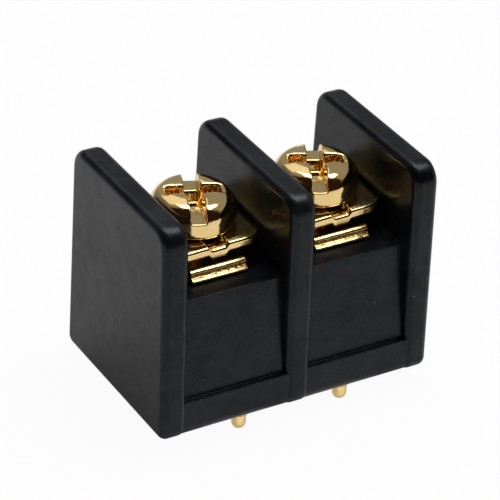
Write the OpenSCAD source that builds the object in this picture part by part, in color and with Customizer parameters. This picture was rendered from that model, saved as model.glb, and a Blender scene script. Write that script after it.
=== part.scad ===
// Two-pole barrier terminal block for a circuit board, with captive clamp plates.
// Origin: midway between the two solder tails, on the board. +X runs along the row, +Y to the back.

/* [Block] */
// Distance between the two screws, and between neighbouring fins
pole_pitch = 9.5; // [9:0.05:12]
// Thickness of the two end fins
end_wall = 1.9; // [1.6:0.05:2.2]
// Thickness of the middle fin
mid_wall = 1.9; // [1.6:0.05:2.2]
// Depth of the fins at the board
foot_d = 14; // [13.6:0.1:16]
// Depth of the fins at their tops
top_d = 13.2; // [12.4:0.05:13.5]
// Height of the fins above the board
block_h = 15.95; // [15.2:0.05:18]
// Radius of the fins' top corners, seen from the end
fin_top_r = 1.5; // [1:0.1:2.5]
// Radius of the bottom corners of the fins and the rail, seen from the end
fin_foot_r = 0.75; // [0.75:0.05:1]
// Rounding of the fins' edges
fin_edge_r = 0.55; // [0.3:0.05:0.55]

/* [Pedestals] */
// Height of the rail along the foot of the block
rail_h = 2.65; // [2.2:0.05:3]
// How far the rail lies behind the fins' front edges
rail_set_back = 0.07; // [0.05:0.01:0.3]
// Width of the ledge between the rail and the sloping panel
ledge_w = 0.45; // [0.2:0.01:0.6]
// Depth of the shelf, from the top of one panel to the other
shelf_d = 11.1; // [10.6:0.1:11.6]
// Height of the shelf above the board
shelf_h = 9.8; // [9.2:0.05:10.2]
// Height of the seat under the terminal strip, above the shelf
seat_h = 0.15; // [0.15:0.05:0.5]
// How far the seat keeps inside the strip's edges
seat_inset = 0.12; // [0.05:0.01:0.3]

/* [Terminals] */
// Width of the terminal strip
strip_w = 4.25; // [4:0.05:5]
// Thickness of the terminal strip
strip_t = 0.75; // [0.65:0.05:1]
// How far the strip's ends lie behind the shelf's edges
strip_set_back = 1.45; // [1.35:0.05:1.6]
// Width of the rolled edge along the top of the strip's sheared ends
roll_w = 0.5; // [0.3:0.05:0.7]
// Height of the rolled edge
roll_h = 0.25; // [0.15:0.01:0.3]
// How far the burr along the bottom of the sheared ends stands out
burr_w = 0.28; // [0.1:0.02:0.36]
// Height of the burr's upright foot
burr_foot_h = 0.1; // [0.05:0.01:0.15]
// Height at which the burr meets the sheared face
burr_h = 0.22; // [0.2:0.01:0.3]
// Outside diameter of the tapped collar under the strip
collar_d = 4; // [3.8:0.05:4.1]
// Length of the tapped collar below the strip
collar_h = 1.3; // [1:0.05:1.8]

/* [Solder tails] */
// Distance between the two solder tails
tail_pitch = 8; // [7.4:0.05:9]
// Diameter of the tails
tail_d = 1; // [0.9:0.05:1.2]
// Length of the tails below the board face
tail_len = 1.2; // [1.1:0.1:4]
// Distance from the row of tails back to the screws
screw_y = 6; // [5.7:0.05:6]
// Thickness of the leg that joins a strip to its tail
leg_t = 0.8; // [0.6:0.05:1]
// Width of the leg where it leaves the strip
leg_w = 1.55; // [1.3:0.05:1.6]
// How far the leg starts behind the strip's front end
leg_set_back = 0.5; // [0.35:0.05:0.6]
// Height at which the leg starts to slant forward
knee_h = 4.6; // [4.2:0.1:5.2]

/* [Clamp plates] */
// Gap between a clamp plate and each fin, with the plate square to the block
clamp_side_gap = 0.2; // [0.15:0.05:0.5]
// Length of a clamp plate from front to back
clamp_l = 7.15; // [6.8:0.05:8]
// Thickness of a clamp plate
clamp_t = 0.7; // [0.6:0.05:1]
// Radius of a clamp plate's corners
clamp_corner_r = 1.3; // [1:0.05:1.5]
// How far each plate has turned with its screw, in degrees
clamp_turn = 1.5; // [0:0.5:3]
// Width of the pressed groove across a clamp plate
groove_w = 1.5; // [1.2:0.05:1.7]
// Width of the groove's floor
groove_floor_w = 1.15; // [0.8:0.05:1.2]
// Depth of the groove, and of the ridge that it raises underneath
groove_depth = 0.28; // [0.1:0.02:0.3]
// Opening under the clamp plates with the screws backed off as stored
clamp_opening = 0.7; // [0.6:0.05:0.9]

/* [Screws] */
// Diameter of the screws' thread
thread_d = 3; // [2.9:0.05:3.1]
// Length of a screw below its head
screw_len = 7; // [6:0.5:7.5]
// Chamfer at the end of a screw
tip_chamfer = 0.4; // [0.2:0.05:0.6]
// Diameter of a screw's head
head_d = 5.9; // [5.6:0.1:6.4]
// Height of a screw's head at its crown
head_h = 2.7; // [2.6:0.05:2.9]
// Height of the head's straight wall
head_wall_h = 1.5; // [1.3:0.05:1.6]
// Rounding between the head's wall and its crown
head_round = 0.85; // [0.6:0.05:0.9]
// Diameter of the bearing face under the head
bearing_d = 4.8; // [4.4:0.1:5.2]
// Height of the bearing face under the head
bearing_h = 0.1; // [0.08:0.01:0.25]
// Width of the slot across the head
slot_w = 1.05; // [0.8:0.05:1.2]
// Height of the slot's floor above the underside of the head
slot_floor_h = 1.36; // [1.1:0.02:1.5]
// Width of the arms of the cross recess
cross_w = 0.95; // [0.8:0.05:1.1]
// Length of the cross recess from tip to tip at the crown
cross_l = 4; // [3.6:0.1:4.4]
// Length of the cross recess from tip to tip at its floor
cross_floor_l = 2.6; // [2:0.1:3]
// Height of the cross recess's floor above the underside of the head
cross_floor_h = 0.6; // [0.4:0.05:0.8]
// Diameter of the shallow dish round the cross recess, at the height of the crown
dish_d = 4; // [3:0.1:4.4]
// Depth of the dish
dish_depth = 0.5; // [0.3:0.05:0.6]
// Angle of the left screw's slot from the front-to-back line, in degrees
slot_turn_left = -20.5; // [-90:0.5:90]
// Angle of the right screw's slot from the front-to-back line, in degrees
slot_turn_right = -24.5; // [-90:0.5:90]

/* [Fits] */
// Radial clearance of the thread in the tapped collar
thread_gap = 0.04; // [0.02:0.01:0.1]
// Radial clearance of the screw in the clamp plate
clamp_gap = 0.06; // [0.03:0.01:0.1]
// Clearance of the moulded pockets round the terminals' legs and collars
pocket_gap = 0.05; // [0.02:0.01:0.1]
// Radial clearance of the screw in its well
well_gap = 0.35; // [0.2:0.05:0.5]
// Room left below the end of a screw that is tightened down
well_spare = 0.4; // [0.2:0.1:0.6]

/* [Hidden] */
$fn = 64;
// Segments of the fins' rounded discs
fin_fn = 40;
// Segments of a quarter arc in a drawn outline
arc_steps = 6;
// Overshoot of cuts past the faces that they open
cut = 0.1;
poles = [-1, 1];
plastic = "#232427";
gold = "#d8b15c";

cell_w = pole_pitch - (end_wall + mid_wall) / 2;
cell_shift = (mid_wall - end_wall) / 4;
seat_z = shelf_h + seat_h;
strip_top = seat_z + strip_t;
clamp_z = strip_top + clamp_opening;
head_z = clamp_z + clamp_t;
well_z = head_z - screw_len - clamp_opening - well_spare;
strip_l = shelf_d - 2 * strip_set_back;
clamp_w = cell_w - 2 * clamp_side_gap;
tail_y = -screw_y;
crown_drop = head_h - head_wall_h - head_round;

// Points of an arc in a drawing plane, from angle a0 to angle a1.
function arc(centre, r, a0, a1) =
    [for (i = [0 : arc_steps])
        let (a = a0 + (a1 - a0) * i / arc_steps)
        centre + r * [cos(a), sin(a)]];

// Half the depth of the fins at a height above the board.
function fin_half_d(z) = (foot_d + (top_d - foot_d) * z / block_h) / 2;

// Where the screw of a pole stands along the row: the middle of its cell.
function pole_x(side) = side * (pole_pitch / 2 + cell_shift);

// Places a shape drawn in the front-to-back plane across the row, centred on x.
module across(x, w) {
    translate([x - w / 2, 0, 0])
        rotate([90, 0, 90])
            linear_extrude(w)
                children();
}

// Shifts a piece drawn about the line of the screws into the frame of the tails.
module in_frame() {
    translate([0, screw_y, 0])
        children();
}

// A disc on its edge with rounded rims: one corner of a fin.
module fin_disc(x, y, z, r, w) {
    translate([x, y, z])
        rotate([0, 90, 0])
            rotate_extrude($fn = fin_fn)
                intersection() {
                    translate([-r, -w / 2])
                        offset(r = fin_edge_r, $fn = 24)
                            offset(delta = -fin_edge_r)
                                square([2 * r, w]);
                    translate([0, -w / 2])
                        square([r, w]);
                }
}

// One fin: four rounded discs drawn together into a tapering plate.
module fin(x, w) {
    top_y = fin_half_d(block_h) - fin_top_r;
    foot_y = fin_half_d(0) - fin_foot_r;
    hull()
        for (side = [-1, 1]) {
            fin_disc(x, side * top_y, block_h - fin_top_r, fin_top_r, w);
            fin_disc(x, side * foot_y, fin_foot_r, fin_foot_r, w);
        }
}

// Section of the pedestals: rail, ledge, sloping panel and shelf, the same to the front and the back.
module pedestal_section() {
    rail_foot = fin_half_d(0) - rail_set_back;
    rail_top = fin_half_d(rail_h) - rail_set_back;
    half = concat(
        arc([rail_foot - fin_foot_r, fin_foot_r], fin_foot_r, -90, 0),
        [[rail_top, rail_h], [rail_top - ledge_w, rail_h], [shelf_d / 2, shelf_h]]);
    mirrored = [for (i = [len(half) - 1 : -1 : 0]) [-half[i][0], half[i][1]]];
    polygon(concat(half, mirrored));
}

// Outline of a leg from its strip down to its tail, grown to the sides and downward by clearances.
module leg_section(grow, below) {
    back = -strip_l / 2 + leg_set_back + leg_w + grow;
    front = -strip_l / 2 + leg_set_back - grow;
    foot_back = tail_y + tail_d / 2 + grow;
    foot_front = tail_y - tail_d / 2 - grow;
    slant_back = -strip_l / 2 + leg_set_back + leg_w - knee_h + grow * sqrt(2);
    slant_front = slant_back - (tail_d + 2 * grow) * sqrt(2);
    top = seat_z;
    polygon([
        [back, top],
        [back, back - slant_back],
        [foot_back, foot_back - slant_back],
        [foot_back, -below],
        [foot_front, -below],
        [foot_front, foot_front - slant_front],
        [front, front - slant_front],
        [front, top],
    ]);
}

// What the moulding leaves open in one pole: screw well, collar pocket and leg slot.
module pole_pockets(side) {
    x = pole_x(side);
    translate([x, 0, well_z])
        cylinder(d = thread_d + 2 * well_gap, h = seat_z - well_z + cut);
    translate([x, 0, seat_z - collar_h - pocket_gap])
        cylinder(d = collar_d + 2 * pocket_gap, h = collar_h + pocket_gap + cut);
    across(side * tail_pitch / 2, leg_t + 2 * pocket_gap)
        leg_section(pocket_gap, cut);
}

module housing() {
    color(plastic) in_frame() difference() {
        union() {
            fin(-pole_pitch, end_wall);
            fin(0, mid_wall);
            fin(pole_pitch, end_wall);
            across(0, 2 * pole_pitch)
                pedestal_section();
            for (side = poles)
                across(pole_x(side), strip_w - 2 * seat_inset)
                    translate([seat_inset - strip_l / 2, shelf_h - cut])
                        square([strip_l - 2 * seat_inset, seat_h + cut]);
        }
        for (side = poles)
            pole_pockets(side);
    }
}

// Section of a strip from front to back: rolled top edge, sheared face and burr at each end.
module strip_section() {
    end = strip_l / 2;
    face = end - burr_w;
    half = concat(
        [[end, 0], [end, burr_foot_h], [face, burr_h]],
        [for (p = arc([0, 0], 1, 0, 90)) [face + roll_w * (p[0] - 1), strip_t + roll_h * (p[1] - 1)]]);
    mirrored = [for (i = [len(half) - 1 : -1 : 0]) [-half[i][0], half[i][1]]];
    translate([0, seat_z])
        polygon(concat(half, mirrored));
}

// One stamping: strip, tapped collar, leg and solder tail.
module terminal(side) {
    x = pole_x(side);
    tail_x = side * tail_pitch / 2;
    tail_r = tail_d / 2;
    color(gold) in_frame() difference() {
        union() {
            across(x, strip_w)
                strip_section();
            translate([x, 0, seat_z - collar_h])
                cylinder(d = collar_d, h = collar_h + strip_t / 2);
            across(tail_x, leg_t)
                leg_section(0, 0);
            translate([tail_x, tail_y, tail_r - tail_len])
                cylinder(r = tail_r, h = tail_len - tail_r);
            translate([tail_x, tail_y, tail_r - tail_len])
                sphere(r = tail_r);
        }
        translate([x, 0, seat_z - collar_h - cut])
            cylinder(d = thread_d + 2 * thread_gap, h = collar_h + strip_t + 2 * cut);
    }
}

// A square with round corners.
module rounded_square(w, l, r) {
    square([w - 2 * r, l], center = true);
    square([w, l - 2 * r], center = true);
    for (sx = [-1, 1], sy = [-1, 1])
        translate([sx * (w / 2 - r), sy * (l / 2 - r)])
            circle(r);
}

// Section of the pressed groove, with its mouth at height zero.
module groove_section() {
    polygon([
        [-groove_w / 2, 0],
        [-groove_floor_w / 2, -groove_depth],
        [groove_floor_w / 2, -groove_depth],
        [groove_w / 2, 0],
    ]);
}

// Runs a section drawn across the row from front to back over a length.
module front_to_back(l) {
    translate([0, l / 2, 0])
        rotate([90, 0, 0])
            linear_extrude(l)
                children();
}

// One clamp plate, turned a little with its screw.
module clamp(side) {
    color(gold) in_frame() translate([pole_x(side), 0, clamp_z]) rotate([0, 0, clamp_turn])
        difference() {
            union() {
                linear_extrude(clamp_t)
                    rounded_square(clamp_w, clamp_l, clamp_corner_r);
                front_to_back(clamp_l)
                    groove_section();
            }
            translate([0, 0, clamp_t])
                front_to_back(clamp_l + 2 * cut)
                    groove_section();
            translate([0, 0, -groove_depth - cut])
                cylinder(d = thread_d + 2 * clamp_gap, h = clamp_t + groove_depth + 2 * cut);
        }
}

// Half section of a screw from its end up to the crown, with the underside of the head at height zero.
module screw_section() {
    thread_r = thread_d / 2;
    head_r = head_d / 2;
    round_r = head_r - head_round;
    crown_y = head_wall_h + head_round;
    polygon(concat(
        [
            [0, -screw_len],
            [thread_r - tip_chamfer, -screw_len],
            [thread_r, tip_chamfer - screw_len],
            [thread_r, 0],
            [bearing_d / 2, 0],
            [bearing_d / 2, bearing_h],
            [head_r, bearing_h],
        ],
        arc([round_r, head_wall_h], head_round, 0, 90),
        [for (i = [1 : arc_steps])
            let (t = i / arc_steps)
            [round_r * (1 - t), crown_y + crown_drop * (1 - pow(1 - t, 2))]]));
}

// Section of the cross recess along one pair of arms, from its floor to above the crown.
module cross_section() {
    slope = (cross_l - cross_floor_l) / 2 / (head_h - cross_floor_h);
    top_l = cross_l + 2 * slope * cut;
    polygon([
        [-cross_floor_l / 2, cross_floor_h],
        [cross_floor_l / 2, cross_floor_h],
        [top_l / 2, head_h + cut],
        [-top_l / 2, head_h + cut],
    ]);
}

// One screw, with a slot right across its head and a dished cross recess in the middle of it.
module screw(side, slot_turn) {
    color(gold) in_frame() translate([pole_x(side), 0, head_z]) rotate([0, 0, slot_turn])
        difference() {
            rotate_extrude()
                screw_section();
            translate([-slot_w / 2, -head_d / 2 - cut, slot_floor_h])
                cube([slot_w, head_d + 2 * cut, head_h]);
            for (turn = [0, 90])
                rotate([0, 0, turn])
                    front_to_back(cross_w)
                        cross_section();
            translate([0, 0, head_h - dish_depth])
                cylinder(r1 = 0, r2 = dish_d / 2 * (1 + cut / dish_depth), h = dish_depth + cut);
        }
}

module terminal_left() terminal(-1);
module terminal_right() terminal(1);
module clamp_left() clamp(-1);
module clamp_right() clamp(1);
module screw_left() screw(-1, slot_turn_left);
module screw_right() screw(1, slot_turn_right);

housing();
terminal_left();
terminal_right();
clamp_left();
clamp_right();
screw_left();
screw_right();
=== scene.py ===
"""Two-pole barrier terminal block: a satin black moulding with gold-plated strips, clamp plates and screws.

Sizes are in millimetres up to the point where a mesh is made, and in the part's own frame:
+X along the row of poles, +Y to the back, +Z up, with the board at height zero.
"""
import math

import bmesh
import bpy
import numpy as np
from mathutils import Matrix, Vector


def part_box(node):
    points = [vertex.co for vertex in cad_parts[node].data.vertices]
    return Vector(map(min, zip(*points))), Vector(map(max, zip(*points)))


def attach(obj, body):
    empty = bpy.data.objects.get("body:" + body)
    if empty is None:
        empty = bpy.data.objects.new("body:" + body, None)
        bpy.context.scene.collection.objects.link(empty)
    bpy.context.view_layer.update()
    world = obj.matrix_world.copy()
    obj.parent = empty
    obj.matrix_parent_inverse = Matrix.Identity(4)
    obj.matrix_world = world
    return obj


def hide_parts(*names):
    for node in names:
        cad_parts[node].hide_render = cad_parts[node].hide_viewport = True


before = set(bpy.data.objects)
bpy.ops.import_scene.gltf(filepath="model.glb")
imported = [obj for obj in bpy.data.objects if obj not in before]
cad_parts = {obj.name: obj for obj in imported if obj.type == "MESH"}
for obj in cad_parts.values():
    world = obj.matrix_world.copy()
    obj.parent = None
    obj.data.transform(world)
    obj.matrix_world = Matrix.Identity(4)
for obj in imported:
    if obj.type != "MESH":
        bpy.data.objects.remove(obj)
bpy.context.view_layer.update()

MM = 0.001

# Places that the frame gives


def node_box(node):
    """Lowest and highest corner of a CAD node, in millimetres."""
    low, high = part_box(node)
    return np.array(low) / MM, np.array(high) / MM


def middle(node):
    """Centre of a CAD node's box, in millimetres."""
    low, high = node_box(node)
    return (low + high) / 2


SIDES = ("left", "right")
SCREW_AXIS = {side: middle("screw_" + side)[:2] for side in SIDES}
BLOCK_LOW, BLOCK_HIGH = node_box("housing")
BLOCK_Y = middle("housing")[1]
STRIP_TOP = node_box("terminal_left")[1][2]
TAIL_END = node_box("terminal_left")[0][2]
CLAMP_TOP = node_box("clamp_left")[1][2]
SCREW_END = node_box("screw_left")[0][2]

# Housing

PITCH = 9.5
END_WALL, MID_WALL = 1.9, 1.9
FOOT_D, TOP_D = 14.0, 13.2
FIN_TOP_R, FIN_FOOT_R, FIN_EDGE_R = 1.5, 0.75, 0.55
RAIL_H, RAIL_SET_BACK, LEDGE_W = 2.65, 0.07, 0.45
SHELF_D, SHELF_H = 11.1, 9.8
SEAT_INSET = 0.12
RAIL_EDGE_R, SHELF_EDGE_R, INNER_R = 0.05, 0.07, 0.03
WELL_R, WELL_FLOOR, POCKET_GAP = 1.85, 4.0, 0.05
SEAT_ROOT, CUT_PAST = 0.2, 0.1
TOP_STEPS, FOOT_STEPS, EDGE_STEPS, CORNER_STEPS, ROUND_SIDES = 14, 10, 7, 5, 64
SHARP_ANGLE, FACE_WEIGHT = math.radians(32), 80

# Terminals

STRIP_W, STRIP_T, STRIP_L = 4.25, 0.75, 8.2
ROLL_W, ROLL_H = 0.5, 0.3
BURR_W, BURR_FOOT_H, BURR_H, BURR_ROOT_H = 0.28, 0.1, 0.22, 0.33
TORN_START, TORN_STOP = (0.16, 0.24), (0.40, 0.56)
TORN_DEPTH, TORN_WAVE, TORN_CELL = 0.05, 0.03, 0.2
END_WAVE, END_CELL, BURR_WAVE, BURR_CELL = 0.006, 0.45, 0.012, 0.4
FACE_EDGE_R, BURR_EDGE_R, STRIP_FOOT_R, STRIP_SIDE_R = 0.03, 0.07, 0.04, 0.06
COLLAR_R, COLLAR_H, TAPPED_R = 2.0, 1.3, 1.54
TAIL_X, TAIL_R = 4.0, 0.5
LEG_T, LEG_W, LEG_SET_BACK, KNEE_H = 0.8, 1.55, 0.5, 4.6
COLLAR_EDGE_R, LEG_EDGE_R, TAIL_ROOT_R, TAPPED_EDGE_R = 0.15, 0.08, 0.04, 0.06
STRIP_STEP = 0.06
SEAT_Z = STRIP_TOP - STRIP_T

# Clamp plates

CLAMP_W, CLAMP_L, CLAMP_T, CLAMP_CORNER_R = 7.2, 7.15, 0.7, 1.3
CLAMP_TURN = math.radians(1.5)
GROOVE_W, GROOVE_FLOOR_W, GROOVE_DEPTH = 1.5, 1.15, 0.28
GROOVE_SOFT, CLAMP_HOLE_R = 0.08, 1.56
WEAR_W, WEAR_DEPTH, CLAMP_WAVE, CLAMP_CELL = 0.55, 0.1, 0.012, 1.1
CLAMP_TOP_EDGE_R, CLAMP_FOOT_EDGE_R, CLAMP_HOLE_EDGE_R = 0.15, 0.12, 0.08
CLAMP_STEP = 0.055

# Screws

HEAD_R, HEAD_H, HEAD_ROUND, CROWN_DROP = 2.95, 2.7, 0.85, 0.35
BEARING_R, BEARING_H = 2.4, 0.1
SLOT_W, SLOT_FLOOR_H = 1.05, 1.36
CROSS_W, CROSS_L, CROSS_FLOOR_L, CROSS_FLOOR_H = 0.95, 4.0, 2.6, 0.6
DISH_R, DISH_DEPTH = 2.0, 0.5
HEAD_WAVE, HEAD_CELL = 0.03, 1.0
DISH_EDGE_R, HEAD_FOOT_R, BEARING_EDGE_R = 0.2, 0.3, 0.04
SLOT_FLOOR_R, SLOT_LIP_R = 0.1, 0.09
CROSS_CORNER_R, CROSS_FLOOR_R, CROSS_LIP_R = 0.1, 0.12, 0.24
HEAD_STEP = 0.045
SLOT_TURN = {"left": math.radians(-20.5), "right": math.radians(-24.5)}
THREAD_R, THREAD_PITCH, THREAD_DEPTH, TIP_CHAMFER = 1.49, 0.5, 0.27, 0.4
THREAD_SIDES, THREAD_ROWS, ROOT_FLAT = 72, 240, 1.25


# Distance fields: soft-edged metal is drawn as a field and skinned

COARSE = 1.0
SETTLE_PASSES = 4

# Large odd numbers that scatter a place on a lattice into a random value
SCATTER = (73856093, 19349663, 83492791)
SCATTER_SEED, SCATTER_AGAIN = 2654435761, 1274126177


def round_max(a, b, r):
    """What lies in both fields, with the edge between them rounded."""
    return np.minimum(-r, np.maximum(a, b)) + np.hypot(np.maximum(a + r, 0), np.maximum(b + r, 0))


def round_min(a, b, r):
    """What lies in either field, with a fillet where they meet."""
    return -round_max(-a, -b, r)


def ease(low, high, x):
    """Goes smoothly from 0 at low to 1 at high."""
    t = np.clip((x - low) / (high - low), 0, 1)
    return t * t * (3 - 2 * t)


def unevenness(x, y, z, cell, seed):
    """Smooth random values between -1 and 1 on a lattice of the given cell size."""
    place = [np.floor(c / cell).astype(np.int64) for c in (x, y, z)]
    blend = [ease(0, 1, c / cell - p) for c, p in zip((x, y, z), place)]
    total = 0
    for corner in np.ndindex(2, 2, 2):
        i, j, k = (p + c for p, c in zip(place, corner))
        mixed = (i * SCATTER[0]) ^ (j * SCATTER[1]) ^ (k * SCATTER[2]) ^ (seed * SCATTER_SEED)
        mixed = (mixed ^ (mixed >> 13)) * SCATTER_AGAIN
        value = ((mixed ^ (mixed >> 16)) & 0xFFFF) / 32767.5 - 1
        for b, c in zip(blend, corner):
            value = value * (b if c else 1 - b)
        total = total + value
    return total


def slope_of(field, points, reach):
    """How steeply a field rises at each point, along each axis."""
    grad = np.empty_like(points)
    for axis in range(3):
        ahead, behind = points.copy(), points.copy()
        ahead[:, axis] += reach
        behind[:, axis] -= reach
        grad[:, axis] = (field(*ahead.T) - field(*behind.T)) / (2 * reach)
    return grad


CORNERS = np.array(list(np.ndindex(2, 2, 2)))
CELL_EDGES = [(a, b) for a in range(8) for b in range(a) if np.abs(CORNERS[a] - CORNERS[b]).sum() == 1]


def skin(field, low, high, step):
    """Points, four-sided faces and normals on the surface where a field is zero."""
    step = step * COARSE
    axes = [np.arange(a - 1.5 * step, b + 2.5 * step, step) for a, b in zip(low, high)]
    values = field(*np.meshgrid(*axes, indexing="ij", sparse=True))
    inside = values < 0
    shape = np.array(inside.shape) - 1
    count = sum(
        inside[i : i + shape[0], j : j + shape[1], k : k + shape[2]].astype(np.int8) for i, j, k in CORNERS
    )
    cells = np.argwhere((count > 0) & (count < 8))
    number = np.full(shape, -1)
    number[tuple(cells.T)] = np.arange(len(cells))
    at = [values[tuple((cells + corner).T)] for corner in CORNERS]
    total = np.zeros((len(cells), 3))
    crossings = np.zeros(len(cells))
    for a, b in CELL_EDGES:
        crossed = (at[a] < 0) != (at[b] < 0)
        share = at[a][crossed] / (at[a] - at[b])[crossed]
        total[crossed] += CORNERS[a] + share[:, None] * (CORNERS[b] - CORNERS[a])
        crossings[crossed] += 1
    origin = np.array([a[0] for a in axes])
    points = origin + (cells + total / crossings[:, None]) * step
    faces = []
    for axis in range(3):
        u, w = (axis + 1) % 3, (axis + 2) % 3
        near, far = [slice(1, -1)] * 3, [slice(1, -1)] * 3
        near[axis], far[axis] = slice(None, -1), slice(1, None)
        first, second = inside[tuple(near)], inside[tuple(far)]
        for solid_first in (True, False):
            found = np.argwhere((first != second) & (first == solid_first))
            quad = []
            for du, dw in ((0, 0), (1, 0), (1, 1), (0, 1)):
                cell = found.copy()
                cell[:, u] += du
                cell[:, w] += dw
                quad.append(number[tuple(cell.T)])
            faces.append(np.stack(quad if solid_first else quad[::-1], axis=1))
    faces = np.concatenate(faces)
    for _ in range(SETTLE_PASSES):
        grad = slope_of(field, points, step / 4)
        miss = field(*points.T) / np.maximum((grad**2).sum(1), 0.2)
        points -= np.clip(miss, -step / 2, step / 2)[:, None] * grad
    grad = slope_of(field, points, step / 4)
    return points, faces, grad / np.linalg.norm(grad, axis=1, keepdims=True)


def turned(points, angle):
    """Points turned about the upright axis."""
    c, s = math.cos(angle), math.sin(angle)
    return points @ np.array([[c, s, 0], [-s, c, 0], [0, 0, 1]])


def skinned_piece(name, skinned, turn, place):
    """A mesh object from a skinned field, turned and set in its place."""
    points, faces, normals = skinned
    mesh = bpy.data.meshes.new(name)
    mesh.from_pydata(((turned(points, turn) + place) * MM).tolist(), [], faces.tolist())
    mesh.shade_smooth()
    mesh.normals_split_custom_set_from_vertices(turned(normals, turn).tolist())
    return linked(bpy.data.objects.new(name, mesh))


def linked(obj):
    """Puts an object into the scene."""
    bpy.context.scene.collection.objects.link(obj)
    return obj


# Node trees


class Wire:
    """A socket of a node tree. Operators on wires and numbers add Math nodes, and node() adds any other."""

    def __init__(self, tree, socket=None):
        self.tree = tree
        self.socket = socket

    def node(self, kind, settings=None, inputs=None, out=0):
        """Adds a node: its settings first, then the values or links of its sockets."""
        node = self.tree.nodes.new(kind)
        for key, value in (settings or {}).items():
            setattr(node, key, value)
        for key, value in (inputs or {}).items():
            if isinstance(value, Wire):
                self.tree.links.new(value.socket, node.inputs[key])
            else:
                node.inputs[key].default_value = value
        return Wire(self.tree, node.outputs[out] if len(node.outputs) else None)

    def math(self, operation, *values, clamp=False):
        """A Math node on values or wires."""
        settings = {"operation": operation, "use_clamp": clamp}
        return self.node("ShaderNodeMath", settings, dict(enumerate(values)))

    def vector(self, operation, *others):
        """Vector maths on this wire: a number for a length, distance or dot product, and else a vector."""
        gives = "Value" if operation in ("LENGTH", "DISTANCE", "DOT_PRODUCT") else "Vector"
        inputs = dict(enumerate((self, *others)))
        return self.node("ShaderNodeVectorMath", {"operation": operation}, inputs, out=gives)

    def sibling(self, name):
        """Another output of the node that this wire comes from."""
        return Wire(self.tree, self.socket.node.outputs[name])

    def blend(self, first, second, share):
        """One colour turned into another by a share from 0 to 1."""
        return self.node("ShaderNodeMix", {"data_type": "RGBA"}, {0: share, 6: first, 7: second}, out=2)

    def ramp(self, low, high):
        """Goes smoothly from 0 at low to 1 at high."""
        inputs = {"Value": self, "From Min": low, "From Max": high}
        return self.node("ShaderNodeMapRange", {"interpolation_type": "SMOOTHSTEP"}, inputs)

    def __add__(self, other):
        return self.math("ADD", self, other)

    def __radd__(self, other):
        return self.math("ADD", other, self)

    def __sub__(self, other):
        return self.math("SUBTRACT", self, other)

    def __rsub__(self, other):
        return self.math("SUBTRACT", other, self)

    def __mul__(self, other):
        return self.math("MULTIPLY", self, other)

    def __rmul__(self, other):
        return self.math("MULTIPLY", other, self)

    def __truediv__(self, other):
        return self.math("DIVIDE", self, other)

    def __gt__(self, other):
        return self.math("GREATER_THAN", self, other)

    def __lt__(self, other):
        return self.math("LESS_THAN", self, other)


# Finishes


def finish_named(name):
    """A new material with its shader, and a wire to build on."""
    material = bpy.data.materials.new(name)
    material.use_nodes = True
    tree = material.node_tree
    return material, tree.nodes["Principled BSDF"], Wire(tree)


def in_millimetres(wire):
    """The piece's own coordinates, in millimetres."""
    place = wire.node("ShaderNodeTexCoord", out="Object")
    return wire.node("ShaderNodeVectorMath", {"operation": "SCALE"}, {0: place, "Scale": 1 / MM})


def noise(place, per_mm, detail=2.0, roughness=0.5):
    """A noise pattern of the given fineness."""
    inputs = {"Vector": place, "Scale": per_mm, "Detail": detail, "Roughness": roughness}
    return place.node("ShaderNodeTexNoise", None, inputs)


def joined(wire, shader, inputs):
    """Links wires to a shader's sockets, and sets plain values on them."""
    for key, value in inputs.items():
        if isinstance(value, Wire):
            wire.tree.links.new(value.socket, shader.inputs[key])
        else:
            shader.inputs[key].default_value = value


def black_moulding():
    """Satin black plastic: fine mottle, soft cloudy handling marks, a patchy film and a few dust specks."""
    material, shader, wire = finish_named("black_moulding")
    place = in_millimetres(wire)
    cloud = noise(place, per_mm=0.3, detail=3.0, roughness=0.55)
    mottle = noise(place, per_mm=3.5, detail=4.0, roughness=0.7)
    grain = noise(place, per_mm=16.0)
    cell = wire.node(
        "ShaderNodeTexVoronoi", {"feature": "F1"}, {"Vector": place, "Scale": 1.1, "Randomness": 1.0}
    )
    pick = wire.node("ShaderNodeSeparateColor", None, {0: cell.sibling("Color")})
    speck = (cell < 0.05 * pick) * (pick > 0.60)
    marks = (0.75 * cloud + 0.25 * mottle).ramp(0.40, 0.62)
    handling = noise(place, per_mm=0.8, detail=5.0, roughness=0.65)
    film = (0.6 * handling + 0.4 * mottle).ramp(0.38, 0.62)
    shade = wire.blend((0.0026, 0.0029, 0.0039, 1), (0.0098, 0.0104, 0.0122, 1), marks)
    bump = wire.node("ShaderNodeBump", None, {
        "Strength": 0.2, "Distance": 0.03 * MM, "Height": 0.7 * grain + mottle,
    })
    joined(wire, shader, {
        "Base Color": wire.blend(shade, (0.30, 0.30, 0.29, 1), speck),
        "Roughness": 0.21 + 0.10 * cloud + 0.08 * mottle,
        "Coat Weight": 0.15 * film,
        "Coat Roughness": 0.25,
        "Normal": bump,
        "IOR": 1.45,
        "Specular IOR Level": 0.25,
        "Specular Tint": (0.87, 0.92, 1.0, 1),
    })
    return material


def gold_plate(name, colour, deep, polish, ripple):
    """Bright gold plating over worked brass: faint tint changes, soft ripples and a slight haze."""
    material, shader, wire = finish_named(name)
    place = in_millimetres(wire)
    cloud = noise(place, per_mm=0.9)
    haze = noise(place, per_mm=6.0, detail=3.0, roughness=0.6)
    fine = noise(place, per_mm=30.0)
    bump = wire.node("ShaderNodeBump", None, {
        "Strength": ripple, "Distance": 0.03 * MM, "Height": cloud * 1.6 + haze * 0.35 + fine * 0.03,
    })
    joined(wire, shader, {
        "Base Color": wire.blend((*colour, 1), (*deep, 1), cloud.ramp(0.42, 0.75)),
        "Metallic": 1.0,
        "Roughness": polish + 0.10 * haze.ramp(0.4, 0.75),
        "Normal": bump,
    })
    return material


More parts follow.
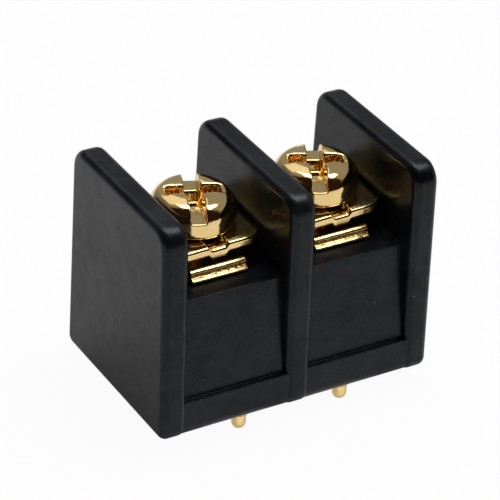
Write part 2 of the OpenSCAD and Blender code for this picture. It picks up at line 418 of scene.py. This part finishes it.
HOUSING_FINISH = black_moulding()
SCREW_FINISH = gold_plate("gold_screw", (0.89, 0.655, 0.30), (0.87, 0.61, 0.25), polish=0.08, ripple=0.35)
CLAMP_FINISH = gold_plate("gold_clamp", (0.92, 0.68, 0.31), (0.89, 0.62, 0.25), polish=0.12, ripple=0.5)
STRIP_FINISH = gold_plate("gold_strip", (0.91, 0.67, 0.30), (0.87, 0.60, 0.24), polish=0.20, ripple=0.42)


def finished(obj, name, body, slot, material, *nodes):
    """Gives a piece its finish, and sets it in the frame in place of its CAD nodes."""
    obj.name = name
    obj.data.materials.clear()
    obj.data.materials.append(material)
    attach(obj, body)
    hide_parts(*nodes)
    return obj


# Housing


def arc(centre, r, start, end, steps):
    """Points on an arc, angles in radians."""
    angles = np.linspace(start, end, steps + 1)
    return [(centre[0] + r * math.cos(a), centre[1] + r * math.sin(a)) for a in angles]


def fin_outline(inset):
    """Outline of a fin seen from the end, drawn in by an inset: four arcs and the lines between them."""
    height = BLOCK_HIGH[2]
    top = (TOP_D / 2 - FIN_TOP_R, height - FIN_TOP_R)
    foot = (FOOT_D / 2 - FIN_FOOT_R, FIN_FOOT_R)
    across, up = top[0] - foot[0], top[1] - foot[1]
    lean = math.atan2(up, across) - math.acos((FIN_FOOT_R - FIN_TOP_R) / math.hypot(across, up))
    half = arc(top, FIN_TOP_R - inset, math.pi / 2, lean, TOP_STEPS)
    half += arc(foot, FIN_FOOT_R - inset, lean, -math.pi / 2, FOOT_STEPS)
    return half + [(-y, z) for y, z in reversed(half)]


def lofted(loops):
    """A closed solid through loops of points, each with as many points, with flat ends."""
    bm = bmesh.new()
    rings = [[bm.verts.new(p) for p in loop] for loop in loops]
    for ring, after in zip(rings, rings[1:]):
        for i in range(len(ring)):
            j = (i + 1) % len(ring)
            bm.faces.new((ring[i], ring[j], after[j], after[i]))
    bm.faces.new(rings[0][::-1])
    bm.faces.new(rings[-1])
    bmesh.ops.recalc_face_normals(bm, faces=bm.faces)
    mesh = bpy.data.meshes.new("solid")
    bm.to_mesh(mesh)
    bm.free()
    mesh.transform(Matrix.Scale(MM, 4))
    return linked(bpy.data.objects.new("solid", mesh))


def fin(x, wall):
    """One fin: a plate with its outline drawn in along a quarter round at each side."""
    loops = []
    for side in (-1, 1):
        for angle in np.linspace(0, math.pi / 2, EDGE_STEPS + 1)[::side]:
            reach = wall / 2 - FIN_EDGE_R * (1 - math.sin(angle))
            inset = FIN_EDGE_R * (1 - math.cos(angle))
            loops.append([(x + side * reach, y + BLOCK_Y, z) for y, z in fin_outline(inset)])
    return lofted(loops)


def rounded_outline(corners):
    """An outline with each corner rounded by its own radius."""
    outline = []
    for i, (y, z, r) in enumerate(corners):
        here = Vector((y, z))
        before = (Vector(corners[i - 1][:2]) - here).normalized()
        after = (Vector(corners[(i + 1) % len(corners)][:2]) - here).normalized()
        half = before.angle(after) / 2
        if r == 0:
            outline.append((y, z))
            continue
        centre = here + (before + after).normalized() * (r / math.sin(half))
        first, last = here + before * (r / math.tan(half)), here + after * (r / math.tan(half))
        start = math.atan2(*(first - centre).yx)
        sweep = (math.atan2(*(last - centre).yx) - start + math.pi) % (2 * math.pi) - math.pi
        outline += arc(centre, r, start, start + sweep, CORNER_STEPS)
    return outline


def along_row(outline, x0, x1):
    """A solid with an outline drawn front to back, run along the row from x0 to x1."""
    return lofted([[(x, y + BLOCK_Y, z) for y, z in outline] for x in (x0, x1)])


def pedestal():
    """Rail, ledge, sloping panel and shelf, the same to the front and the back."""
    taper = (FOOT_D - TOP_D) / 2 / BLOCK_HIGH[2]
    rail_foot = FOOT_D / 2 - RAIL_SET_BACK
    rail_top = rail_foot - taper * RAIL_H
    half = [
        (rail_foot, 0, FIN_FOOT_R),
        (rail_top, RAIL_H, RAIL_EDGE_R),
        (rail_top - LEDGE_W, RAIL_H, INNER_R),
        (SHELF_D / 2, SHELF_H, SHELF_EDGE_R),
    ]
    outline = rounded_outline(half + [(-y, z, r) for y, z, r in reversed(half)])
    return along_row(outline, -PITCH, PITCH)


def leg_outline(grow, below):
    """Outline of a terminal's leg from its strip down to its tail, relative to the screw axis."""
    tail_y = -SCREW_AXIS["left"][1]
    start = LEG_SET_BACK - STRIP_L / 2
    back, front = start + LEG_W + grow, start - grow
    foot_back, foot_front = tail_y + TAIL_R + grow, tail_y - TAIL_R - grow
    slant_back = start + LEG_W - KNEE_H + grow * math.sqrt(2)
    slant_front = slant_back - 2 * (TAIL_R + grow) * math.sqrt(2)
    return [
        (back, SEAT_Z), (back, back - slant_back), (foot_back, foot_back - slant_back), (foot_back, -below),
        (foot_front, -below), (foot_front, foot_front - slant_front), (front, front - slant_front),
        (front, SEAT_Z),
    ]


def round_solid(x, y, r, z0, z1):
    """An upright cylinder."""
    turns = np.linspace(0, 2 * math.pi, ROUND_SIDES, endpoint=False)
    return lofted([[(x + r * math.cos(a), y + r * math.sin(a), z) for a in turns] for z in (z0, z1)])


def combine(base, tool, operation):
    """Joins a solid to another, or cuts it out, and removes the tool."""
    modifier = base.modifiers.new("combine", "BOOLEAN")
    modifier.operation = operation
    modifier.object = tool
    modifier.solver = "EXACT"
    settle(base)
    bpy.data.objects.remove(tool)


def settle(obj):
    """Turns an object with modifiers into a plain mesh."""
    bpy.context.view_layer.update()
    seen = obj.evaluated_get(bpy.context.evaluated_depsgraph_get())
    mesh = bpy.data.meshes.new_from_object(seen)
    obj.modifiers.clear()
    old = obj.data
    obj.data = mesh
    bpy.data.meshes.remove(old)


def housing():
    """The moulding: three fins joined by the pedestals, with seats, wells and slots in each pole."""
    body = pedestal()
    for x, wall in ((-PITCH, END_WALL), (0, MID_WALL), (PITCH, END_WALL)):
        combine(body, fin(x, wall), "UNION")
    for side in SIDES:
        x, y = SCREW_AXIS[side]
        half_w, half_l = STRIP_W / 2 - SEAT_INSET, STRIP_L / 2 - SEAT_INSET
        root_z = SHELF_H - SEAT_ROOT
        plan = [(-half_l, root_z), (half_l, root_z), (half_l, SEAT_Z), (-half_l, SEAT_Z)]
        combine(body, along_row(plan, x - half_w, x + half_w), "UNION")
        combine(body, round_solid(x, y, WELL_R, WELL_FLOOR, SEAT_Z + CUT_PAST), "DIFFERENCE")
        pocket_r, pocket_z = COLLAR_R + POCKET_GAP, SEAT_Z - COLLAR_H - POCKET_GAP
        combine(body, round_solid(x, y, pocket_r, pocket_z, SEAT_Z + CUT_PAST), "DIFFERENCE")
        leg_x = math.copysign(TAIL_X, x)
        slot_half = LEG_T / 2 + POCKET_GAP
        leg_slot = along_row(leg_outline(POCKET_GAP, CUT_PAST), leg_x - slot_half, leg_x + slot_half)
        combine(body, leg_slot, "DIFFERENCE")
    mesh = body.data
    mesh.shade_smooth()
    mesh.set_sharp_from_angle(angle=SHARP_ANGLE)
    weigh = body.modifiers.new("weigh", "WEIGHTED_NORMAL")
    weigh.keep_sharp = True
    weigh.weight = FACE_WEIGHT
    settle(body)
    return finished(body, "moulded_housing", "block", "housing_plastic", HOUSING_FINISH, "housing")


# Terminals


def polygon_field(corners, u, v):
    """Distance from an outline, negative inside it."""
    nearest = np.inf
    crossings = False
    for (u0, v0), (u1, v1) in zip(corners, corners[1:] + corners[:1]):
        du, dv = u1 - u0, v1 - v0
        share = np.clip(((u - u0) * du + (v - v0) * dv) / (du * du + dv * dv), 0, 1)
        nearest = np.minimum(nearest, np.hypot(u - u0 - share * du, v - v0 - share * dv))
        if dv:
            passed = ((v0 > v) != (v1 > v)) & (u < u0 + (v - v0) / dv * du)
            crossings = crossings ^ passed
    return np.where(crossings, -nearest, nearest)


def sheared_strip(x, y, z, seed):
    """The strip with its sheared ends: rolled top edge, torn face and a burr along the bottom."""
    half = STRIP_L / 2
    torn = ease(*TORN_START, z) * (1 - ease(*TORN_STOP, z))
    reach = np.abs(y) + END_WAVE * unevenness(x, y, z, END_CELL, seed)
    reach = reach + torn * (TORN_DEPTH + TORN_WAVE * unevenness(x, y, z * 0.5, TORN_CELL, seed + 3))
    inner = np.maximum(reach - (half - BURR_W - ROLL_W), 0)
    sag = ROLL_H * (1 - np.sqrt(np.maximum(1 - (inner / ROLL_W) ** 2, 0.02)))
    face = round_max(reach - (half - BURR_W), z - STRIP_T + sag, FACE_EDGE_R)
    level = z + BURR_WAVE * unevenness(x, y * 0, z * 0, BURR_CELL, seed + 7)
    run = math.hypot(BURR_W, BURR_H - BURR_FOOT_H)
    slant = ((reach - half) * (BURR_H - BURR_FOOT_H) + (level - BURR_FOOT_H) * BURR_W) / run
    burr = np.maximum(round_max(reach - half, slant, BURR_EDGE_R), z - BURR_ROOT_H)
    strip = round_max(round_min(face, burr, FACE_EDGE_R), -z, STRIP_FOOT_R)
    return round_max(strip, np.abs(x) - STRIP_W / 2, STRIP_SIDE_R)


def terminal_field(side, seed):
    """One stamping about its screw's axis: strip, tapped collar, leg and tail."""
    leg_x = math.copysign(TAIL_X, SCREW_AXIS[side][0]) - SCREW_AXIS[side][0]
    tail_y = -SCREW_AXIS[side][1]
    tip_z = TAIL_END + TAIL_R
    leg_corners = leg_outline(0, 0)

    def field(x, y, z):
        off_axis = np.hypot(x, y)
        strip = sheared_strip(x, y, z - SEAT_Z, seed)
        collar = round_max(off_axis - COLLAR_R, SEAT_Z - COLLAR_H - z, COLLAR_EDGE_R)
        collar = np.maximum(collar, z - SEAT_Z - STRIP_T / 2)
        leg = round_max(polygon_field(leg_corners, y, z), np.abs(x - leg_x) - LEG_T / 2, LEG_EDGE_R)
        tail = np.hypot(np.hypot(x - leg_x, y - tail_y), np.minimum(z - tip_z, 0)) - TAIL_R
        tail = round_max(tail, z, TAIL_ROOT_R)
        solid = np.minimum(np.minimum(strip, collar), np.minimum(leg, tail))
        return round_max(solid, TAPPED_R - off_axis, TAPPED_EDGE_R)

    return field


def terminal(side, seed):
    """The stamping of one pole."""
    x, y = SCREW_AXIS[side]
    low = (-STRIP_W / 2, -y - TAIL_R, TAIL_END)
    high = (STRIP_W / 2, STRIP_L / 2, STRIP_TOP)
    surface = skin(terminal_field(side, seed), low, high, STRIP_STEP)
    piece = skinned_piece("strip", surface, 0, (x, y, 0))
    name, node = "terminal_strip_" + side, "terminal_" + side
    return finished(piece, name, "block", "plated_strip", STRIP_FINISH, node)


# Clamp plates


def clamp_field(seed):
    """A pressed plate with round corners, worn edges and a groove from front to back."""
    floor_end, groove_end = GROOVE_FLOOR_W / 2 - GROOVE_SOFT, GROOVE_W / 2 + GROOVE_SOFT

    def field(x, y, z):
        groove = GROOVE_DEPTH * (1 - ease(floor_end, groove_end, np.abs(x)))
        sink = groove + CLAMP_WAVE * unevenness(x, y, z * 0, CLAMP_CELL, seed)
        along = np.abs(x) - CLAMP_W / 2 + CLAMP_CORNER_R
        across = np.abs(y) - CLAMP_L / 2 + CLAMP_CORNER_R
        plan = np.hypot(np.maximum(along, 0), np.maximum(across, 0))
        plan = plan + np.minimum(np.maximum(along, across), 0) - CLAMP_CORNER_R
        worn = WEAR_DEPTH * np.clip(1 + plan / WEAR_W, 0, 1) ** 2
        plate = round_max(plan, z - CLAMP_T + sink + worn, CLAMP_TOP_EDGE_R)
        plate = round_max(plate, -z - groove, CLAMP_FOOT_EDGE_R)
        return round_max(plate, CLAMP_HOLE_R - np.hypot(x, y), CLAMP_HOLE_EDGE_R)

    return field


def clamp(side, body, seed):
    """The pressure plate of one pole, turned a little with its screw."""
    low = (-CLAMP_W / 2, -CLAMP_L / 2, -GROOVE_DEPTH)
    high = (CLAMP_W / 2, CLAMP_L / 2, CLAMP_T)
    surface = skin(clamp_field(seed), low, high, CLAMP_STEP)
    piece = skinned_piece("plate", surface, CLAMP_TURN, (*SCREW_AXIS[side], CLAMP_TOP - CLAMP_T))
    return finished(piece, "clamp_plate_" + side, body, "plated_clamp", CLAMP_FINISH, "clamp_" + side)


# Screws


def head_field(seed):
    """A screw's head: straight wall, rounded shoulder, low crown, a slot right across and a cross recess."""
    slope = (CROSS_L - CROSS_FLOOR_L) / 2 / (HEAD_H - CROSS_FLOOR_H)
    round_start = HEAD_R - HEAD_ROUND

    def field(x, y, z):
        off_axis = np.hypot(x, y)
        crown = z - HEAD_H + CROWN_DROP * (off_axis / round_start) ** 2
        crown = crown + HEAD_WAVE * unevenness(x, y, z * 0, HEAD_CELL, seed)
        head = round_max(off_axis - HEAD_R, crown, HEAD_ROUND)
        dish = z - HEAD_H + DISH_DEPTH * (1 - off_axis / DISH_R)
        head = round_max(round_max(head, dish, DISH_EDGE_R), BEARING_H - z, HEAD_FOOT_R)
        bearing = round_max(off_axis - BEARING_R, -z, BEARING_EDGE_R)
        head = np.minimum(head, np.maximum(bearing, z - HEAD_H / 2))
        slot = round_max(np.abs(x) - SLOT_W / 2, SLOT_FLOOR_H - z, SLOT_FLOOR_R)
        for along, across in ((x, y), (y, x)):
            reach = CROSS_FLOOR_L / 2 + (z - CROSS_FLOOR_H) * slope
            end = (np.abs(along) - reach) / math.hypot(1, slope)
            arm = round_max(np.abs(across) - CROSS_W / 2, end, CROSS_CORNER_R)
            cross = round_max(arm, CROSS_FLOOR_H - z, CROSS_FLOOR_R)
            head = round_max(head, -cross, CROSS_LIP_R)
        return round_max(head, -slot, SLOT_LIP_R)

    return field


def thread_tree():
    """Builds the tree that wraps a sheet into a threaded shank: sizes in metres, heights up from the tip."""
    tree = bpy.data.node_groups.new("threaded_shank", "GeometryNodeTree")
    sizes = ("Radius", "Pitch", "Depth", "Length", "Chamfer")
    for name in sizes:
        tree.interface.new_socket(name, in_out="INPUT", socket_type="NodeSocketFloat")
    tree.interface.new_socket("Finish", in_out="INPUT", socket_type="NodeSocketMaterial")
    tree.interface.new_socket("Geometry", in_out="OUTPUT", socket_type="NodeSocketGeometry")
    start = Wire(tree)
    given = tree.nodes.new("NodeGroupInput")
    radius, pitch, depth, length, chamfer = (Wire(tree, given.outputs[name]) for name in sizes)
    rows = THREAD_ROWS
    sheet = start.node("GeometryNodeMeshGrid", None, {
        "Size X": 1.0, "Size Y": 1.0, "Vertices X": THREAD_SIDES + 1, "Vertices Y": rows,
    })
    place = start.node("GeometryNodeInputPosition")
    split = tree.nodes.new("ShaderNodeSeparateXYZ")
    tree.links.new(place.socket, split.inputs[0])
    turn = Wire(tree, split.outputs[0]) + 0.5
    rise = Wire(tree, split.outputs[1]) + 0.5
    inner = (rise - 1 / (rows - 1)) * ((rows - 1) / (rows - 3))
    height = length * inner.math("ADD", inner, 0, clamp=True)
    phase = start.math("FRACT", height / pitch - turn)
    tooth = start.math("MINIMUM", ROOT_FLAT * start.math("ABSOLUTE", 2 * phase - 1), 1.0)
    reach = radius - depth * tooth
    tapered = start.math("MINIMUM", reach, radius - chamfer + height)
    open_row = start.math("MULTIPLY", inner > -0.5 / rows, inner < 1 + 0.5 / rows)
    reach = tapered * open_row
    angle = turn * (2 * math.pi)
    where = start.node("ShaderNodeCombineXYZ", None, {
        0: reach * start.math("COSINE", angle), 1: reach * start.math("SINE", angle), 2: height,
    })
    moved = start.node("GeometryNodeSetPosition", None, {"Geometry": sheet, "Position": where})
    closed = start.node("GeometryNodeMergeByDistance", None, {"Geometry": moved, "Distance": 1e-7})
    smooth = start.node("GeometryNodeSetShadeSmooth", None, {"Geometry": closed, "Shade Smooth": True})
    real = start.node("GeometryNodeRealizeInstances", None, {"Geometry": smooth})
    painted = start.node("GeometryNodeSetMaterial", None, {
        "Geometry": real, "Material": Wire(tree, given.outputs["Finish"]),
    })
    result = tree.nodes.new("NodeGroupOutput")
    tree.links.new(painted.socket, result.inputs[0])
    return tree


THREAD_TREE = thread_tree()


def threaded_shank(side, length):
    """The screw's shank with its thread, from the tip up into the head."""
    shank = linked(bpy.data.objects.new("shank", bpy.data.meshes.new("shank")))
    modifier = shank.modifiers.new("thread", "NODES")
    modifier.node_group = THREAD_TREE
    values = {
        "Radius": THREAD_R * MM, "Pitch": THREAD_PITCH * MM, "Depth": THREAD_DEPTH * MM,
        "Length": length * MM, "Chamfer": TIP_CHAMFER * MM, "Finish": SCREW_FINISH,
    }
    for item in THREAD_TREE.interface.items_tree:
        if item.in_out == "INPUT":
            modifier[item.identifier] = values[item.name]
    settle(shank)
    shank.data.transform(Matrix.Translation(Vector((*SCREW_AXIS[side], SCREW_END)) * MM))
    return shank


def screw(side, body, seed):
    """The screw of one pole: head and threaded shank in one mesh."""
    low, high = (-HEAD_R, -HEAD_R, 0), (HEAD_R, HEAD_R, HEAD_H)
    surface = skin(head_field(seed), low, high, HEAD_STEP)
    head = skinned_piece("head", surface, SLOT_TURN[side], (*SCREW_AXIS[side], CLAMP_TOP))
    shank = threaded_shank(side, CLAMP_TOP - SCREW_END + BEARING_H)
    with bpy.context.temp_override(active_object=head, selected_editable_objects=[head, shank]):
        bpy.ops.object.join()
    return finished(head, "clamp_screw_" + side, body, "plated_screw", SCREW_FINISH, "screw_" + side)


housing()
for seed, side in enumerate(SIDES, start=1):
    terminal(side, seed)
    clamp(side, side + "_plate", seed + 10)
    screw(side, side + "_clamp_screw", seed + 20)


# Studio: the floor's half width in metres, and where its painted glare starts and is full, in millimetres

FLOOR_HALF = 1.2
GLARE_FAR, GLARE_AHEAD, GLARE_TAIL = (18, 45), (6.6, 8.0), (1.8, 3.4)
GLARE_NEAR_LEVEL, GLARE_LEVEL, GLARE_TAIL_LEVEL, SHOWN_WHITE = 0.05, 0.51, 0.5, 0.95
ROOM_LEVEL, ROOM_DROP, ROOM_FILL, DIM_SHARE = 0.30, 0.28, 0.12, 0.6
WARM_DARK = (1.0, 0.45, 0.30, 1)


def ray_kinds(wire):
    """Whether a ray comes from the camera, and whether it comes off gloss or through glass."""
    camera = wire.node("ShaderNodeLightPath", out="Is Camera Ray")
    mirror = wire.math("MAXIMUM", camera.sibling("Is Glossy Ray"), camera.sibling("Is Transmission Ray"))
    return camera, mirror


def backdrop():
    """A pale room that shows white to the camera: dark and warm behind the viewer, dim at the far left."""
    world = bpy.data.worlds.new("white_room")
    bpy.context.scene.world = world
    world.use_nodes = True
    tree = world.node_tree
    tree.nodes.clear()
    wire = Wire(tree)
    toward = wire.node("ShaderNodeTexCoord", out="Generated")
    dark = toward.vector("DOT_PRODUCT", NEAR_SIDE).ramp(0.0, 0.2)
    dim = DIM_SHARE * (1 - toward.vector("DOT_PRODUCT", ACROSS).ramp(-0.8, -0.45))
    level = ROOM_LEVEL - ROOM_DROP * wire.math("MAXIMUM", dark, dim)
    camera, mirror = ray_kinds(wire)
    shown = camera + (1 - camera) * (level + ROOM_FILL * (1 - mirror))
    tint = wire.blend((1, 1, 1, 1), WARM_DARK, dark * mirror)
    light = wire.node("ShaderNodeBackground", None, {"Color": tint, "Strength": shown})
    out = tree.nodes.new("ShaderNodeOutputWorld")
    tree.links.new(light.socket, out.inputs["Surface"])


def floor():
    """A pale floor that shows white to the camera, keeps the object's shadow and is clear from below.

    In the object's gloss it glows with painted light: painted shade close by, and a painted glare ahead,
    further off and round the tails.
    """
    mesh = bpy.data.meshes.new("floor")
    corners = [(-1, -1), (1, -1), (1, 1), (-1, 1)]
    points = [(x * FLOOR_HALF, y * FLOOR_HALF, TAIL_END * MM) for x, y in corners]
    mesh.from_pydata(points, [], [(0, 1, 2, 3)])
    obj = linked(bpy.data.objects.new("floor", mesh))
    material, shader, wire = finish_named("pale_floor")
    tree = wire.tree
    camera, mirror = ray_kinds(wire)
    place = in_millimetres(wire)
    spot = place.vector("SUBTRACT", (0, BLOCK_Y, 0))
    far = spot.vector("LENGTH").ramp(*GLARE_FAR)
    ahead = spot.vector("DOT_PRODUCT", (0, -1, 0)).ramp(*GLARE_AHEAD)
    to_tail = place.vector("ABSOLUTE").vector("DISTANCE", (TAIL_X, 0, -TAIL_END))
    at_tail = 1 - to_tail.ramp(*GLARE_TAIL)
    # painted glare and painted shade: a glow that only gloss rays see, low by the block and bright ahead,
    # far off and round the tails
    glare = GLARE_NEAR_LEVEL + GLARE_LEVEL * wire.math("MAXIMUM", far, ahead) + GLARE_TAIL_LEVEL * at_tail
    seen = wire.math("MAXIMUM", SHOWN_WHITE * camera, glare * mirror)
    joined(wire, shader, {
        "Base Color": (0.72, 0.72, 0.72, 1), "Roughness": 0.9, "Specular IOR Level": 0.1,
    })
    # the glow is plain white to the camera, and painted light where gloss sees the floor
    glow = wire.node("ShaderNodeEmission", None, {"Color": (1, 1, 1, 1), "Strength": 1.0})
    paper = wire.node("ShaderNodeMixShader", None, {0: seen, 1: Wire(tree, shader.outputs[0]), 2: glow})
    below = camera * wire.node("ShaderNodeNewGeometry", out="Backfacing")
    clear = wire.node("ShaderNodeBsdfTransparent")
    whole = wire.node("ShaderNodeMixShader", None, {0: below, 1: paper, 2: clear})
    tree.links.new(whole.socket, tree.nodes["Material Output"].inputs["Surface"])
    obj.data.materials.append(material)


def softbox(name, place, size, radiance):
    """A soft light in metres from the aim, that faces it with its width across the view and an even glow."""
    lamp = bpy.data.lights.new(name, "AREA")
    lamp.shape = "RECTANGLE"
    lamp.size, lamp.size_y = size
    lamp.energy = radiance * math.pi * lamp.size * lamp.size_y
    obj = linked(bpy.data.objects.new(name, lamp))
    away = Vector(place).normalized()
    side = (ACROSS - away * ACROSS.dot(away)).normalized()
    pose = Matrix((side, away.cross(side), away)).transposed().to_4x4()
    pose.translation = AIM * MM + Vector(place)
    obj.matrix_world = pose


# Camera: the photograph's view, taken as a frame of 500 by 500 pixels

FRAME_PX = 500
FOCAL_PX = 2694.2
AZIMUTH, ELEVATION, ROLL = math.radians(-31.619), math.radians(31.688), math.radians(3.059)
DISTANCE = 183.56
AIM = Vector((0, BLOCK_Y, 8.494))
OFF_CENTRE_PX = (1.453, -0.42)
SENSOR = 36.0
BACK = Vector((
    math.sin(AZIMUTH) * math.cos(ELEVATION), -math.cos(AZIMUTH) * math.cos(ELEVATION), math.sin(ELEVATION),
))
NEAR_SIDE = Vector((BACK.x, BACK.y, 0)).normalized()
ACROSS = Vector((0, 0, 1)).cross(BACK).normalized()


def camera():
    """The camera, rolled as the photograph is, with a small shift for its framing."""
    data = bpy.data.cameras.new("camera")
    data.sensor_width = SENSOR
    data.lens = SENSOR * FOCAL_PX / FRAME_PX
    data.shift_x = -OFF_CENTRE_PX[0] / FRAME_PX
    data.shift_y = OFF_CENTRE_PX[1] / FRAME_PX
    data.clip_start = 0.01
    obj = linked(bpy.data.objects.new("camera", data))
    right = (-BACK).cross(Vector((0, 0, 1))).normalized()
    up = right.cross(-BACK)
    rolled_right = right * math.cos(ROLL) + up * math.sin(ROLL)
    rolled_up = up * math.cos(ROLL) - right * math.sin(ROLL)
    pose = Matrix((rolled_right, rolled_up, BACK)).transposed().to_4x4()
    pose.translation = (AIM + BACK * DISTANCE) * MM
    obj.matrix_world = pose
    bpy.context.scene.camera = obj


backdrop()
floor()
softbox("key_softbox", place=(0.09, 0.01, 0.44), size=(0.42, 0.19), radiance=6.0)
softbox("rear_softbox", place=(0.0, 0.26, 0.36), size=(0.30, 0.30), radiance=0.65)
camera()
bpy.context.scene.view_settings.view_transform = "Standard"
